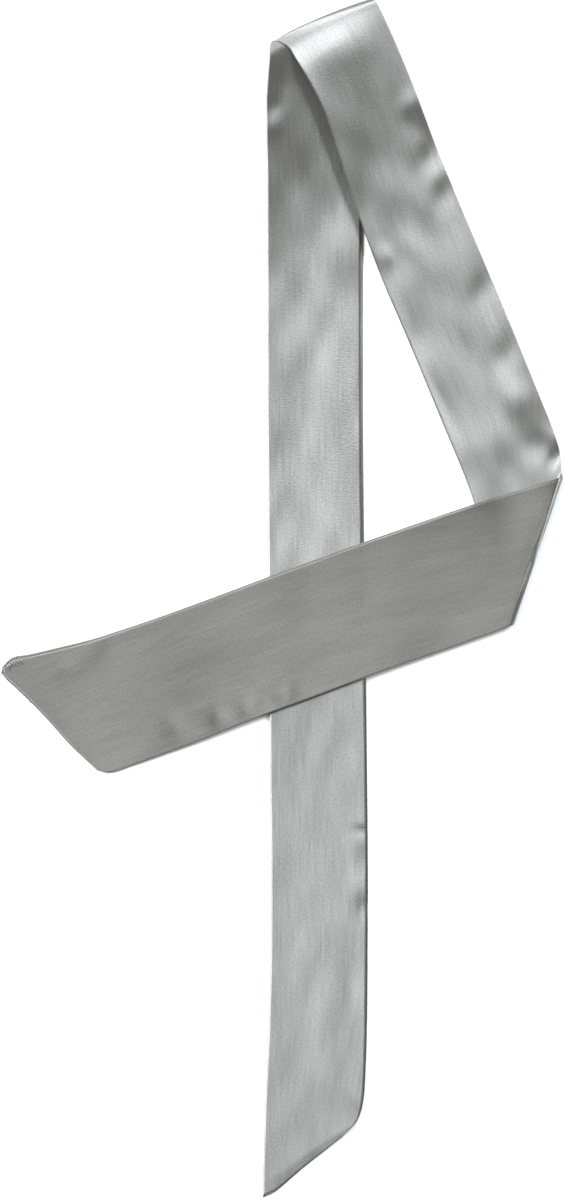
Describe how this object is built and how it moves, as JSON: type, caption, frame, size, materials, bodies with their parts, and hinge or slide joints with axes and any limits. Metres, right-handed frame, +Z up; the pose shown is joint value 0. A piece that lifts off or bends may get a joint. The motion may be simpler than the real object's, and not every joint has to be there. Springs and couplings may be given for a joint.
{
  "type": "satin scarf",
  "caption": "Long band scarf of doubled satin with slanted ends, laid flat, folded over twice so that it crosses itself once.",
  "frame": {"origin": "middle of the laid scarf's outline, on the surface that it lies on", "axes": "+Y up the long run from its free end to the top fold, +X to the right towards the side fold, +Z up off the surface"},
  "size_m": [0.4092, 0.8752, 0.0223],
  "materials": {
    "silver_satin": "silver grey satin weave, its threads across the light",
    "shaded_satin": "the same satin where its threads run along the light, darker and warmer"
  },
  "bodies": {
    "root": {"long_run_face": "silver_satin", "long_run_back": "silver_satin", "top_fold_face": "silver_satin", "top_fold_back": "silver_satin", "slanting_run_face": "silver_satin", "slanting_run_back": "silver_satin", "side_fold_face": "shaded_satin", "side_fold_back": "shaded_satin", "short_run_face": "shaded_satin", "short_run_back": "shaded_satin"}
  },
  "joints": []
}
